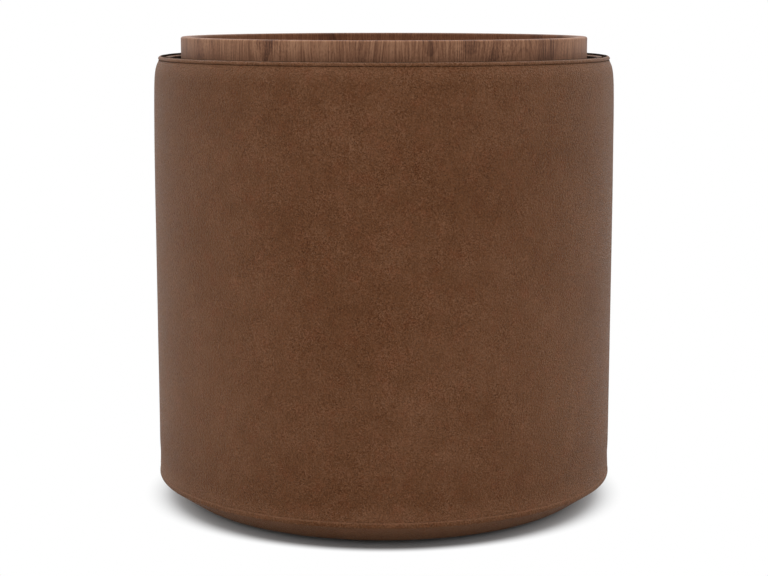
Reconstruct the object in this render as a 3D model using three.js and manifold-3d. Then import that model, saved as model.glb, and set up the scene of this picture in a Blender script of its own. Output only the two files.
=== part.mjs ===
// A round upholstered drum table: a leather side over a plywood and fibreboard drum, a bevelled
// base, a storage bin inside, and a round walnut tray that lifts off its ledge.
// Millimetres, +Z up, origin on the floor at the middle of the drum.

import * as THREE from 'three';
import { mergeVertices } from 'three/addons/utils/BufferGeometryUtils.js';
import Module from 'manifold-3d';

const wasm = await Module();
wasm.setup();

// Whole table
const tableHeight = 468; // floor to the top of the tray rim
const drumRadius = 230.2; // widest part of the leather side
const fitGap = 0.3; // clearance between fitted pieces

// Covering layers
const leatherThickness = 1.3;
const foamThickness = 6;
const skinThickness = 4;

// Bevelled base
const baseEdgeInset = 0.3; // the base's leather edge stands in from the side by this much
const undersideHeight = 3.3; // floor to the leather under the base
const shoulderHeight = 27; // floor to the corner where the bevel starts
const seamHeight = 31.7; // floor to the seam between the base and the side
const bevelAngle = THREE.MathUtils.degToRad(34.1); // from the horizontal
const shoulderRounding = 2.8;
const undersideRounding = 46;
const turnUnderWidth = 17; // of the leather under the base, from the foot of the bevel inwards
const dustCoverThickness = 0.5;

// Crown of the side, drawn in under the piping in two stretches that fade downwards
const edgeDraw = 2.8;
const edgeFade = 5;
const crownDraw = 2.6;
const crownFade = 27;
const crownHeightShares = [0, 0.006, 0.018, 0.05, 0.16, 1]; // from the top down
const foamSetback = 3; // the foam ends this far below the top of the leather side

// Piping and top band
const pipingRadius = 2.7; // of the covered cord
const pipingProud = 2.1; // the piping's top above the top band
const tapeThickness = 0.8;
const tapeProud = 1.8; // the tape's edge above the top band
const topBandRounding = 2.5;

// Frame
const bottomBoardThickness = 15;
const topRingThickness = 18;
const midRingThickness = 12;
const collarThickness = 4.9;
const postCount = 6;
const postWidth = 30;
const postDepth = 20;
const postInset = 1.5; // from the rings' outer edge to the post
const midRingHeightShare = 0.5; // of the height of the posts

// Tray
const trayProud = 20; // the rim's top above the leather band
const trayGap = 9.3; // open gap between the tray and the band
const trayWall = 12;
const trayHeight = 40.6;
const trayDepth = 28; // inside, from the rim to the panel
const trayPanelThickness = 6;
const trayGrooveDepth = 5;
const trayEdgeRounding = 2;
const locatorClearance = 3; // between the locating ring and the bin wall
const locatorWidth = 8;
const locatorHeight = 20;
const padCount = 4;
const padRadius = 5;
const padThickness = 2;

// Storage bin
const ledgeReach = 6.2; // the ledge reaches in past the tray's wall by this much
const liningWallThickness = 3;
const liningFloorThickness = 2;
const ledgeLiningThickness = 0.8;

// Glides
const glideCount = 4;
const glideRadius = 12;
const glideEdgeRounding = 0.8;
const glideSetback = 18; // from the turned-under leather in to the glide's middle
const glideScrewSink = 0.9; // the screw's head lies this deep in the glide

// Countersunk screws
const frameScrew = { shank: 2.5, head: 4.8, headEdge: 0.4, headHeight: 2.8, point: 5, length: 45 };
const baseScrew = { shank: 2.5, head: 4.8, headEdge: 0.4, headHeight: 2.8, point: 5, length: 38 };
const glideScrew = { shank: 1.75, head: 3.4, headEdge: 0.3, headHeight: 1.9, point: 3.5, length: 18 };
const baseScrewCount = 4;
const baseScrewSetback = 13; // from the turned-under leather in to the screw
const cutOverrun = 5;

// Facets
const roundSides = 48;
const pipingSides = 8;
const glideSides = 16;
const padSides = 12;
const screwSides = 8;
const cornerSteps = 2;

// Radii that follow from the sizes above, from the outside in
const baseRadius = drumRadius - baseEdgeInset;
const coverInset = leatherThickness + fitGap;
const foamInner = drumRadius - coverInset - foamThickness;
const skinOuter = foamInner - fitGap;
const skinInner = skinOuter - skinThickness;
const frameRadius = skinInner - fitGap;
const tapeOuter = skinInner + tapeThickness;
const pipingCircle = tapeOuter + fitGap + pipingRadius;
const collarInner = frameRadius - collarThickness;
const bandFace = collarInner - coverInset;
const trayRadius = bandFace - trayGap;
const trayInner = trayRadius - trayWall;
const binRadius = trayInner - ledgeReach;
const wallOuter = binRadius + liningWallThickness;
const ringInner = wallOuter + fitGap;
const postCircle = frameRadius - postInset - postDepth / 2;

// The bevel's foot, where it would meet the underside, for an outline moved in by an inset
const bevelRise = (inset) => inset / Math.cos(bevelAngle);
const bevelFoot = (inset) =>
  baseRadius - (shoulderHeight + bevelRise(inset) - undersideHeight - inset) / Math.tan(bevelAngle);
const turnUnderRadius = bevelFoot(0) - turnUnderWidth;
const glideCircle = turnUnderRadius - glideSetback;
const baseScrewCircle = turnUnderRadius - baseScrewSetback;

// Heights that follow, first from the floor up and then from the tray's rim down
const baseBottom = undersideHeight + coverInset;
const baseTop = seamHeight - fitGap;
const dustCoverTop = baseBottom - fitGap;
const dustCoverBottom = dustCoverTop - dustCoverThickness;
const glideTop = dustCoverBottom - fitGap;
const bottomBoardTop = seamHeight + bottomBoardThickness;
const binBottom = bottomBoardTop + fitGap;
const coverBottom = seamHeight + fitGap;

const topBandHeight = tableHeight - trayProud;
const pipingHeight = topBandHeight + pipingProud - pipingRadius;
const coverTop = pipingHeight - pipingRadius - fitGap;
const collarTop = topBandHeight - coverInset;
const panelTop = tableHeight - trayDepth;
const panelBottom = panelTop - trayPanelThickness;
const locatorTop = panelBottom - fitGap;
const trayBottom = tableHeight - trayHeight;
const padBottom = trayBottom - fitGap - padThickness;
const ledgeLiningBottom = padBottom - fitGap - ledgeLiningThickness;
const ledgeTop = ledgeLiningBottom - fitGap;
const topRingBottom = ledgeTop - topRingThickness;
const postTop = topRingBottom - fitGap;
const midRingMiddle = THREE.MathUtils.lerp(binBottom, postTop, midRingHeightShare);

const crownDrop = (depth) =>
  edgeDraw * Math.exp(-depth / edgeFade) + crownDraw * Math.exp(-depth / crownFade);

const material = (color, roughness, metalness = 0) =>
  new THREE.MeshStandardMaterial({ color, roughness, metalness });
const leather = () => material('#5f4131', 0.55);
const walnut = () => material('#7d5b49', 0.5);
const plywood = () => material('#b89468', 0.75);
const fibreboard = () => material('#8a6f52', 0.8);
const foam = () => material('#d9cfa8', 0.95);
const blackCloth = () => material('#17161a', 0.95);
const felt = () => material('#3a3531', 1);
const nylon = () => material('#1c1c1d', 0.5);
const steel = () => material('#a8a9aa', 0.35, 1);

const table = new THREE.Group();

function add(name, geometry, itsMaterial) {
  const piece = new THREE.Mesh(geometry, itsMaterial);
  piece.name = name;
  table.add(piece);
  return piece;
}

const roundAngle = (i, count, first) => first + (i * 2 * Math.PI) / count;

// Numbered copies of a piece on a circle round the table's axis, each turned to face outwards
function addRound(name, count, first, circle, geometry, makeMaterial) {
  for (let i = 0; i < count; i++) {
    const angle = roundAngle(i, count, first);
    const piece = add(`${name}_${i + 1}`, geometry, makeMaterial());
    piece.position.set(circle * Math.cos(angle), circle * Math.sin(angle), 0);
    piece.rotation.z = angle;
  }
}

// The same places for the solids that cut the pieces there
const cuttersRound = (count, first, circle, make) =>
  Array.from({ length: count }, (_, i) =>
    make().translate(circle, 0, 0).rotateZ(roundAngle(i, count, first)));

// A solid turned about +Z from an outline of [radius, height] points that runs counter-clockwise
function turned(outline, sides = roundSides) {
  const points = outline.map(([radius, height]) => new THREE.Vector2(radius, height));
  if (outline[0][0] > 0) points.push(points[0].clone());
  return new THREE.LatheGeometry(points, sides).rotateX(Math.PI / 2);
}

const tube = (inner, outer, bottom, top) =>
  turned([[inner, bottom], [outer, bottom], [outer, top], [inner, top]]);

const disc = (radius, bottom, top, sides) =>
  turned([[0, bottom], [radius, bottom], [radius, top], [0, top]], sides);

// The points of the arc that rounds a corner, from the side of `before` to that of `after`
function roundedCorner(before, corner, after, rounding) {
  const at = new THREE.Vector2(...corner);
  const back = new THREE.Vector2(...before).sub(at).normalize();
  const ahead = new THREE.Vector2(...after).sub(at).normalize();
  const half = Math.acos(back.dot(ahead)) / 2;
  const inward = back.clone().add(ahead).normalize();
  const centre = at.clone().addScaledVector(inward, rounding / Math.sin(half));
  const start = at.clone().addScaledVector(back, rounding / Math.tan(half));
  const sweep = (Math.PI - 2 * half) * Math.sign(ahead.cross(back));
  return Array.from({ length: cornerSteps + 1 }, (_, i) => {
    const point = start.clone().rotateAround(centre, (sweep * i) / cornerSteps);
    return [point.x, point.y];
  });
}

function toManifold(geometry) {
  const bare = geometry.clone();
  bare.deleteAttribute('normal');
  bare.deleteAttribute('uv');
  const merged = mergeVertices(bare);
  const index = merged.index.array;
  const triangles = [];
  for (let i = 0; i < index.length; i += 3) {
    const [a, b, c] = index.slice(i, i + 3);
    if (a !== b && b !== c && c !== a) triangles.push(a, b, c);
  }
  return new wasm.Manifold(new wasm.Mesh({
    numProp: 3,
    vertProperties: Float32Array.from(merged.attributes.position.array),
    triVerts: Uint32Array.from(triangles),
  }));
}

function cut(geometry, cutters) {
  let solid = toManifold(geometry);
  for (const cutter of cutters) solid = solid.subtract(toManifold(cutter));
  const mesh = solid.getMesh();
  const result = new THREE.BufferGeometry();
  result.setAttribute('position', new THREE.BufferAttribute(Float32Array.from(mesh.vertProperties), 3));
  result.setIndex(new THREE.BufferAttribute(Uint32Array.from(mesh.triVerts), 1));
  result.computeVertexNormals();
  return result;
}

// A countersunk screw that stands point up on its head, with the head's face at a height
function screw(size, headFace) {
  const tip = headFace + size.length;
  return turned([
    [0, headFace],
    [size.head, headFace],
    [size.head, headFace + size.headEdge],
    [size.shank, headFace + size.headHeight],
    [size.shank, tip - size.point],
    [0, tip],
  ], screwSides);
}

// Its hole, open below the head down to a depth
function screwHole(size, headFace, openDepth = fitGap) {
  const tip = headFace + size.length + fitGap;
  return turned([
    [0, headFace - openDepth],
    [size.head + fitGap, headFace - openDepth],
    [size.head + fitGap, headFace + size.headEdge],
    [size.shank + fitGap, headFace + size.headHeight],
    [size.shank + fitGap, tip - size.point],
    [0, tip],
  ], screwSides);
}

const pointedDown = (geometry, height) => geometry.rotateX(Math.PI).translate(0, 0, height);

// The base's outline over its shoulder, down the bevel and in under it, moved in by an inset
function baseOutline(inset) {
  const shoulder = baseRadius - inset;
  const bevelTop = shoulderHeight + bevelRise(inset) - inset * Math.tan(bevelAngle);
  const shoulderCorner = [shoulder, bevelTop];
  const footCorner = [bevelFoot(inset), undersideHeight + inset];
  return [
    ...roundedCorner([shoulder, seamHeight], shoulderCorner, footCorner, shoulderRounding - inset),
    ...roundedCorner(shoulderCorner, footCorner, [0, footCorner[1]], undersideRounding - inset),
  ];
}

// The side's outline from the bottom up, moved in by an inset, as far as a height
function sideOutline(inset, bottom, top) {
  const points = crownHeightShares
    .map((share) => share * (coverTop - coverBottom))
    .filter((depth) => depth > coverTop - top && depth < coverTop - bottom)
    .map((depth) => [drumRadius - crownDrop(depth) - inset, coverTop - depth]);
  const at = (height) => [drumRadius - crownDrop(coverTop - height) - inset, height];
  return [at(bottom), ...points.reverse(), at(top)];
}

// Holes at the places of the screws
const betweenScrews = Math.PI / glideCount;
const baseScrewHoles = () =>
  cuttersRound(baseScrewCount, 0, baseScrewCircle, () => screwHole(baseScrew, baseBottom));
const glideScrewHole = () => screwHole(glideScrew, glideScrewSink, glideScrewSink + fitGap);
const glideScrewHoles = () => cuttersRound(glideCount, betweenScrews, glideCircle, glideScrewHole);
const postScrewHole = () => screwHole(frameScrew, seamHeight);
const ledgeScrewHole = () => pointedDown(screwHole(frameScrew, 0), ledgeTop);

function addBase() {
  const board = turned([
    [0, baseBottom],
    ...baseOutline(coverInset).reverse(),
    [baseRadius - coverInset, baseTop],
    [0, baseTop],
  ]);
  add('base_board', cut(board, [...baseScrewHoles(), ...glideScrewHoles()]), plywood());

  const band = turned([
    [turnUnderRadius, undersideHeight],
    ...baseOutline(0).reverse(),
    [baseRadius, seamHeight],
    [baseRadius - leatherThickness, seamHeight],
    ...baseOutline(leatherThickness),
    [turnUnderRadius, undersideHeight + leatherThickness],
  ]);
  add('bottom_band', band, leather());

  const dustCover = disc(turnUnderRadius - fitGap, dustCoverBottom, dustCoverTop);
  add('dust_cover', cut(dustCover, glideScrewHoles()), blackCloth());
  addRound('base_screw', baseScrewCount, 0, baseScrewCircle, screw(baseScrew, baseBottom), steel);
}

function addGlides() {
  const glide = turned([
    [0, 0],
    [glideRadius - glideEdgeRounding, 0],
    [glideRadius, glideEdgeRounding],
    [glideRadius, glideTop],
    [0, glideTop],
  ], glideSides);
  addRound('glide', glideCount, betweenScrews, glideCircle, cut(glide, [glideScrewHole()]), nylon);
  addRound('glide_screw', glideCount, betweenScrews, glideCircle,
    screw(glideScrew, glideScrewSink), steel);
}

function addFrame() {
  const bottomBoard = disc(frameRadius, seamHeight, bottomBoardTop);
  const bottomHoles = cuttersRound(postCount, 0, postCircle, postScrewHole);
  add('bottom_board', cut(bottomBoard, [...baseScrewHoles(), ...bottomHoles]), plywood());

  const topRing = tube(ringInner, frameRadius, topRingBottom, ledgeTop);
  add('top_ring', cut(topRing, cuttersRound(postCount, 0, postCircle, ledgeScrewHole)), plywood());
  add('collar', tube(collarInner, frameRadius, ledgeTop + fitGap, collarTop), plywood());

  const midRing = tube(ringInner, frameRadius,
    midRingMiddle - midRingThickness / 2, midRingMiddle + midRingThickness / 2);
  const notchDepth = postDepth + postInset + fitGap + cutOverrun;
  const notch = () =>
    new THREE.BoxGeometry(notchDepth, postWidth + 2 * fitGap, midRingThickness + 2 * cutOverrun)
      .translate(postInset / 2 + cutOverrun / 2 - fitGap / 2, 0, midRingMiddle);
  add('mid_ring', cut(midRing, cuttersRound(postCount, 0, postCircle, notch)), plywood());

  const post = new THREE.BoxGeometry(postDepth, postWidth, postTop - binBottom)
    .translate(0, 0, (postTop + binBottom) / 2);
  const postWithHoles = cut(post, [postScrewHole(), ledgeScrewHole()]);
  addRound('post', postCount, 0, postCircle, postWithHoles, plywood);
  addRound('post_screw', postCount, 0, postCircle, screw(frameScrew, seamHeight), steel);
  addRound('ledge_screw', postCount, 0, postCircle, pointedDown(screw(frameScrew, 0), ledgeTop), steel);
}

function addCovering() {
  add('outer_skin', tube(skinInner, skinOuter, seamHeight, coverTop), fibreboard());

  const foamTop = coverTop - foamSetback;
  const foamWrap = turned([
    ...sideOutline(coverInset, coverBottom, foamTop),
    [foamInner, foamTop],
    [foamInner, coverBottom],
  ]);
  add('foam_wrap', foamWrap, foam());

  const sideCover = turned([
    ...sideOutline(0, coverBottom, coverTop),
    ...sideOutline(leatherThickness, coverBottom, coverTop).reverse(),
  ]);
  add('side_cover', sideCover, leather());
}

function addTopEdge() {
  const pipingOutline = Array.from({ length: pipingSides }, (_, i) => {
    const angle = roundAngle(i, pipingSides, 0);
    return [
      pipingCircle + pipingRadius * Math.cos(angle),
      pipingHeight + pipingRadius * Math.sin(angle),
    ];
  });
  add('top_piping', turned(pipingOutline), leather());

  const tape = tube(skinInner, tapeOuter, coverTop + fitGap, topBandHeight + tapeProud);
  add('piping_tape', tape, blackCloth());

  const bandBack = bandFace + leatherThickness;
  const bandUnder = topBandHeight - leatherThickness;
  const faceBottom = [bandFace, ledgeLiningBottom];
  const faceTop = [bandFace, topBandHeight];
  const edge = [frameRadius, topBandHeight];
  const topBand = turned([
    faceBottom,
    [bandBack, ledgeLiningBottom],
    [bandBack, bandUnder],
    [frameRadius, bandUnder],
    edge,
    ...roundedCorner(edge, faceTop, faceBottom, topBandRounding),
  ]);
  add('top_band', topBand, leather());
}

function addBin() {
  add('lining_wall', tube(binRadius, wallOuter, binBottom, ledgeTop), blackCloth());
  const floorTop = binBottom + liningFloorThickness;
  add('lining_floor', disc(binRadius - fitGap, binBottom, floorTop), blackCloth());
  const ledgeLiningTop = ledgeLiningBottom + ledgeLiningThickness;
  add('ledge_lining', tube(binRadius, bandFace - fitGap, ledgeLiningBottom, ledgeLiningTop), blackCloth());
}

function addTray() {
  const outerTop = [trayRadius, tableHeight];
  const innerTop = [trayInner, tableHeight];
  const outerBottom = [trayRadius, trayBottom];
  const innerBottom = [trayInner, trayBottom];
  const groove = trayInner + trayGrooveDepth;
  const rim = turned([
    innerBottom,
    outerBottom,
    ...roundedCorner(outerBottom, outerTop, innerTop, trayEdgeRounding),
    ...roundedCorner(outerTop, innerTop, innerBottom, trayEdgeRounding),
    [trayInner, panelTop + fitGap],
    [groove, panelTop + fitGap],
    [groove, panelBottom - fitGap],
    [trayInner, panelBottom - fitGap],
  ]);
  add('tray_rim', rim, walnut());

  // The panel's top has one face inside the rim and a ring outside it that lies in the groove
  const panelRadius = groove - fitGap;
  const panel = turned([
    [0, panelBottom],
    [panelRadius, panelBottom],
    [panelRadius, panelTop],
    [trayInner - fitGap, panelTop],
    [0, panelTop],
  ]);
  add('tray_panel', panel, walnut());

  const locatorOuter = binRadius - locatorClearance;
  const locator = tube(locatorOuter - locatorWidth, locatorOuter, locatorTop - locatorHeight, locatorTop);
  add('tray_locator', locator, plywood());

  const pad = disc(padRadius, padBottom, padBottom + padThickness, padSides);
  addRound('tray_pad', padCount, 0, trayRadius - trayWall / 2, pad, felt);
}

addBase();
addGlides();
addFrame();
addCovering();
addTopEdge();
addBin();
addTray();

export default table;
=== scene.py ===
import math
from functools import cache

import bpy
from bpy.props import FloatProperty, FloatVectorProperty, IntProperty, PointerProperty
from mathutils import Matrix, Vector, noise
from mathutils.geometry import delaunay_2d_cdt


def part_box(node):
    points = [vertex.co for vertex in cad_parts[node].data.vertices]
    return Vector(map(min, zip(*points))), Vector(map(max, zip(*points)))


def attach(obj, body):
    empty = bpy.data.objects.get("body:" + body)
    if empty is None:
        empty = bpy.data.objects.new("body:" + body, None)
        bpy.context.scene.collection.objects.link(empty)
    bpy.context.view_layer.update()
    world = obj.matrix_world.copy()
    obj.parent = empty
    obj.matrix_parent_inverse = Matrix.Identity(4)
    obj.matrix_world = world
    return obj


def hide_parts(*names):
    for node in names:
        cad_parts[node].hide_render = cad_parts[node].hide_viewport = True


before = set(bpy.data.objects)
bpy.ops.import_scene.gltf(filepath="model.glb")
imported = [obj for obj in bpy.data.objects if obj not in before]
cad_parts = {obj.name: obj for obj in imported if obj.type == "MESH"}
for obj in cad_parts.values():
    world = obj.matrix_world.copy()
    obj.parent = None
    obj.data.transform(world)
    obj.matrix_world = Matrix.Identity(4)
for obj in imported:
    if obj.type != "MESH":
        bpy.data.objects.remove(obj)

# Dresses a round leather drum table with a lift-off walnut tray. Metres, +Z up, the viewer at -Y.

bl_info = {
    "name": "Leather drum table",
    "version": (1, 0, 0),
    "blender": (4, 5, 0),
    "location": "View3D > Sidebar > Drum Table",
    "description": "Builds the leather, walnut, linings and stage of a round drum table",
    "category": "Add Mesh",
}

MM = 0.001
BACK = math.pi / 2  # every closing seam lies at the back, at +Y
SEAM_REACH = 9.6 * MM  # how far to either side of a leather seam the mesh is finer
BASE_SHOULDER = 27 * MM  # floor to the corner where the base's bevel starts
BASE_BEVEL = math.radians(34.1)  # of the bevel, from the horizontal
SIDE_OVERLAP = 0.25 * MM  # how far the side reaches down behind the base's edge
HEAD_EDGE = 0.3 * MM  # upright edge of a glide screw's head
HEAD_DEPTH = 1.9 * MM  # from the face of that head to its shank
WHITE = (1.0, 1.0, 1.0)
GLIDES = range(1, 5)
PADS = range(1, 5)


# Sizes read from the frame

@cache
def box_of(node):
    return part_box(node)


def bottom_of(node):
    return box_of(node)[0].z


def top_of(node):
    return box_of(node)[1].z


@cache
def extents_of(node):
    """Inner and outer radius, bottom and top of a CAD node that is round about the table's axis."""
    radii = [math.hypot(v.co.x, v.co.y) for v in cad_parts[node].data.vertices]
    return min(radii), max(radii), bottom_of(node), top_of(node)


def middle_of(node):
    low, high = box_of(node)
    return (low + high) / 2


# Settings

def length_setting(name, description, default, high=1.0):
    return FloatProperty(name=name, description=description, default=default, min=0.0, max=high,
                         precision=5, subtype="DISTANCE", unit="LENGTH")


def number_setting(name, description, default, low=0.0, high=4.0):
    return FloatProperty(name=name, description=description, default=default, min=low, max=high)


def colour_setting(name, description, default):
    return FloatVectorProperty(name=name, description=description, default=default, size=3,
                               min=0.0, max=1.0, subtype="COLOR")


class DrumLeather(bpy.types.PropertyGroup):
    """The leather covering: its colours, grain, edges and ripples"""

    colour: colour_setting("Leather", "Main colour of the leather", (0.1345, 0.0502, 0.0199))
    # The pale and deep leathers are also what the painted highlights and painted shade round the base's
    # edge and under the piping move towards
    pale: colour_setting("Pale leather", "Where the wax has moved and the leather is paler",
                         (0.206, 0.0925, 0.0485))
    deep: colour_setting("Deep leather", "In the hollows of the grain", (0.075, 0.0180, 0.0040))
    thickness: length_setting("Leather thickness", "Of every leather piece", 1.3 * MM)
    red_tint: colour_setting("Red patches", "Tint of the redder patches", (0.62, 0.42, 0.40))
    grain: length_setting("Grain size", "Width of one pebble of the grain", 1.75 * MM)
    edge_height: length_setting("Base edge height", "How tall the roll of the base leather's edge is",
                                2.6 * MM)
    edge_depth: length_setting("Base edge depth", "How far in that roll turns", 1.1 * MM)
    fold_rounding: length_setting("Fold rounding", "Of the side where it tucks in behind the base",
                                  0.12 * MM)
    seam_rise: length_setting("Seam rise", "How far above its drawn height the base seam lies", 0.7 * MM)
    seam_draw: length_setting("Draw above the seam", "How far the side pulls in above the base",
                              0.45 * MM)
    crown_edge: length_setting("Crown at the edge", "How far the side turns in just under the piping",
                               4.23 * MM)
    crown_edge_reach: length_setting("Crown edge reach", "How far down that turn fades", 6.6 * MM)
    crown_wide: length_setting("Wide crown", "How far the side leans in below that turn", 1.74 * MM)
    crown_wide_reach: length_setting("Wide crown reach", "How far down that lean fades", 42.1 * MM)
    ripple: length_setting("Ripple", "Height of the soft waves in the stretched leather", 0.22 * MM)
    pucker: length_setting("Pucker", "Height of the gathers beside a seam", 0.12 * MM)
    piping_height: length_setting("Piping height", "Of the pressed piping", 4.0 * MM)
    piping_plump: length_setting("Plump piping", "How much taller it is in the back half", 0.6 * MM)
    # Below this drop the gap's face takes the black tape cloth, which darkens the gap
    gap_black_drop: length_setting("Gap lining", "How far below the edge the black lining starts", 0.9 * MM)
    base_proud: length_setting("Base edge", "How far the base leather stands out of the wood's size",
                               0.75 * MM)


class DrumWood(bpy.types.PropertyGroup):
    """The walnut tray and the hidden woods"""

    walnut: colour_setting("Walnut", "Main colour of the walnut", (0.254, 0.118, 0.064))
    walnut_pale: colour_setting("Pale walnut", "Between the growth rings", (0.374, 0.197, 0.114))
    walnut_dark: colour_setting("Dark walnut", "Late wood and dark streaks", (0.106, 0.045, 0.026))
    # Painted shade: this tint is multiplied over the rim's inner face, inside the radius below, to darken
    # it as its shade would
    inner_face_shade: colour_setting("Heartwood", "Tint of the rim's darker inner face", (0.50, 0.43, 0.38))
    inner_face_shade_radius: length_setting("Heartwood radius", "Out to where the rim is darker", 192.5 * MM)
    ring_width: length_setting("Growth ring", "Width of a growth ring", 2.8 * MM)
    leaf_width: length_setting("Veneer leaf", "Width of one leaf of veneer", 0.118)
    figure_at: length_setting("Dark figure", "How far left of the front the rim's dark wedge is",
                              114.5 * MM)
    rim_rounding: length_setting("Rim rounding", "Of the tray rim's upper edges", 1.8 * MM)
    rim_drop: length_setting("Rim drop", "How far the rim's top edge is planed down", 0.17 * MM)
    rim_slope: length_setting("Rim slope", "How much lower than that the top edge is in front",
                              0.42 * MM)
    birch: colour_setting("Birch plywood", "Faces of the plywood", (0.560, 0.390, 0.220))
    birch_edge: colour_setting("Plywood edge", "Dark plies in the edge", (0.300, 0.180, 0.095))
    board: colour_setting("Fibreboard", "The bent board of the drum", (0.255, 0.155, 0.085))


class DrumTrim(bpy.types.PropertyGroup):
    """Cloth, foam, felt, glides and screws"""

    cloth: colour_setting("Lining cloth", "The black cloth of the bin", (0.0150, 0.0085, 0.0055))
    thread_pitch: length_setting("Thread pitch", "Distance between the cloth's threads", 0.8 * MM)
    foam: colour_setting("Foam", "The layer under the leather", (0.690, 0.610, 0.390))
    felt: colour_setting("Felt", "The pads under the tray", (0.042, 0.036, 0.031))
    nylon: colour_setting("Nylon", "The glides", (0.012, 0.012, 0.013))
    steel: colour_setting("Steel", "The screws", (0.560, 0.565, 0.570))
    sag: length_setting("Dust cloth sag", "How unevenly the cloth under the base lies", 0.1 * MM)


class DrumStage(bpy.types.PropertyGroup):
    """The floor, the light and the camera"""

    sides: IntProperty(name="Round sides", description="Flats round a turned piece",
                       default=360, min=24, max=720)
    floor: colour_setting("Floor", "Colour of the floor as it lights the table", (0.72, 0.72, 0.72))
    shadow: colour_setting("Shaded floor", "Colour of the floor where the table shades it",
                           (0.651, 0.668, 0.679))
    shadow_edge: length_setting("Shadow edge", "How far out the shade turns to plain white", 0.2272)
    shadow_softness: length_setting("Shadow softness", "Half the width of that turn in front", 9.0 * MM)
    shadow_shift: length_setting("Shadow shift", "How far back the shade lies", 18 * MM)
    shadow_spread: length_setting("Shadow spread", "How much further out it reaches at the sides",
                                  5 * MM)
    shadow_lift: number_setting("Shadow lift", "How much paler its edge is at the sides", 0.2, high=1.0)
    sky_low: number_setting("Low light", "Strength of the light near the horizon", 0.765)
    sky_high: number_setting("High light", "Strength of the light from above", 1.48)
    sky_back: number_setting("Back light", "How much stronger the light is from behind", 0.15)
    sky_front: number_setting("Front shade", "How much of the light from the viewer is held back",
                              0.28, high=1.0)
    lens: number_setting("Lens", "Focal length on a 36 mm wide sensor, in mm", 83.575, 10.0, 400.0)
    distance: length_setting("Camera distance", "From the table's axis to the camera", 1.8018, 20.0)
    height: length_setting("Camera height", "From the floor to the camera", 0.4985, 5.0)
    pitch: FloatProperty(name="Camera pitch", description="How far the camera looks down",
                         default=0.1573, min=-1.6, max=1.6, subtype="ANGLE", unit="ROTATION")


# Turned shapes

def rounded(corners, steps=6, hold=0.5 * MM):
    """The points of a closed outline from its (radius, height, rounding) corners."""
    points = []
    for i, (radius, height, rounding) in enumerate(corners):
        at = Vector((radius, height))
        if rounding <= 0:
            points.append(at)
            continue
        back = (Vector(corners[i - 1][:2]) - at).normalized()
        ahead = (Vector(corners[(i + 1) % len(corners)][:2]) - at).normalized()
        half = back.angle(ahead) / 2
        reach = rounding / math.tan(half)
        centre = at + (back + ahead).normalized() * (rounding / math.sin(half))
        spoke = at + back * reach - centre
        sweep = (math.pi - 2 * half) * (-1 if (-back).cross(ahead) < 0 else 1)
        if hold:
            points.append(at + back * (reach + hold))
        for k in range(steps + 1):
            turn = sweep * k / steps
            points.append(centre + Vector((
                spoke.x * math.cos(turn) - spoke.y * math.sin(turn),
                spoke.x * math.sin(turn) + spoke.y * math.cos(turn))))
        if hold:
            points.append(at + ahead * (reach + hold))
    return [(p.x, p.y) for p in points]


def four_cornered(inner, outer, low, high, roundings, steps, hold):
    """A closed outline whose corners' roundings are given from the inner lower one round."""
    corners = (inner, low), (outer, low), (outer, high), (inner, high)
    return rounded([(*at, rounding) for at, rounding in zip(corners, roundings)], steps, hold)


def divided(outline, spacing, closed=True):
    """The outline with its long stretches divided."""
    result = []
    ends = outline[1:] + (outline[:1] if closed else [])
    for (r0, z0), (r1, z1) in zip(outline, ends):
        parts = max(1, math.ceil(math.hypot(r1 - r0, z1 - z0) / spacing))
        result += [(r0 + (r1 - r0) * k / parts, z0 + (z1 - z0) * k / parts) for k in range(parts)]
    return result if closed else result + outline[-1:]


def angles_round(sides=None, seam_reach=0.0, seam_steps=24):
    """Angles round the axis from the back and on to the back, closer together beside a seam."""
    sides = sides or bpy.context.scene.drum_stage.sides
    even = [2 * math.pi * i / sides for i in range(sides + 1)]
    if not seam_reach:
        return [BACK + a for a in even]
    beside = [seam_reach * k / seam_steps for k in range(1, seam_steps + 1)]
    apart = [a for a in even if seam_reach * 1.02 < a < 2 * math.pi - seam_reach * 1.02]
    return [BACK + a for a in
            [0.0, *beside, *apart, *[2 * math.pi - a for a in reversed(beside)], 2 * math.pi]]


def turned(name, outline, angles, move=None, closed=True):
    """A mesh turned about the axis from an outline of (radius, height) points that runs
    counter-clockwise. move(radius, height, angle) gives each point's own radius and height.
    The map is in metres: along the arc, and along the outline."""
    widest = max(r for r, _ in outline)
    run = [0.0]
    for (r0, z0), (r1, z1) in zip(outline, outline[1:] + outline[:1]):
        run.append(run[-1] + math.hypot(r1 - r0, z1 - z0))
    points, poles, columns = [], {}, []
    for angle in angles[:-1]:
        column = []
        for j, (radius, height) in enumerate(outline):
            if radius < 1e-7:
                if j not in poles:
                    poles[j] = len(points)
                    points.append((0.0, 0.0, height))
                column.append(poles[j])
                continue
            r, z = move(radius, height, angle) if move else (radius, height)
            column.append(len(points))
            points.append((r * math.cos(angle), r * math.sin(angle), z))
        columns.append(column)
    faces, corners = [], []
    steps = len(outline) if closed else len(outline) - 1
    for i in range(len(columns)):
        here, there = columns[i], columns[(i + 1) % len(columns)]
        u0, u1 = ((angles[i + k] - angles[0]) * widest for k in (0, 1))
        for j in range(steps):
            k = (j + 1) % len(outline)
            ring = [(here[j], u0, run[j]), (there[j], u1, run[j]),
                    (there[k], u1, run[j + 1]), (here[k], u0, run[j + 1])]
            face = [c for n, c in enumerate(ring) if c[0] != ring[n - 1][0]]
            if len(face) > 2:
                faces.append([c[0] for c in face])
                corners += [(c[1], c[2]) for c in face]
    return finished_mesh(name, points, faces, corners)


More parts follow.
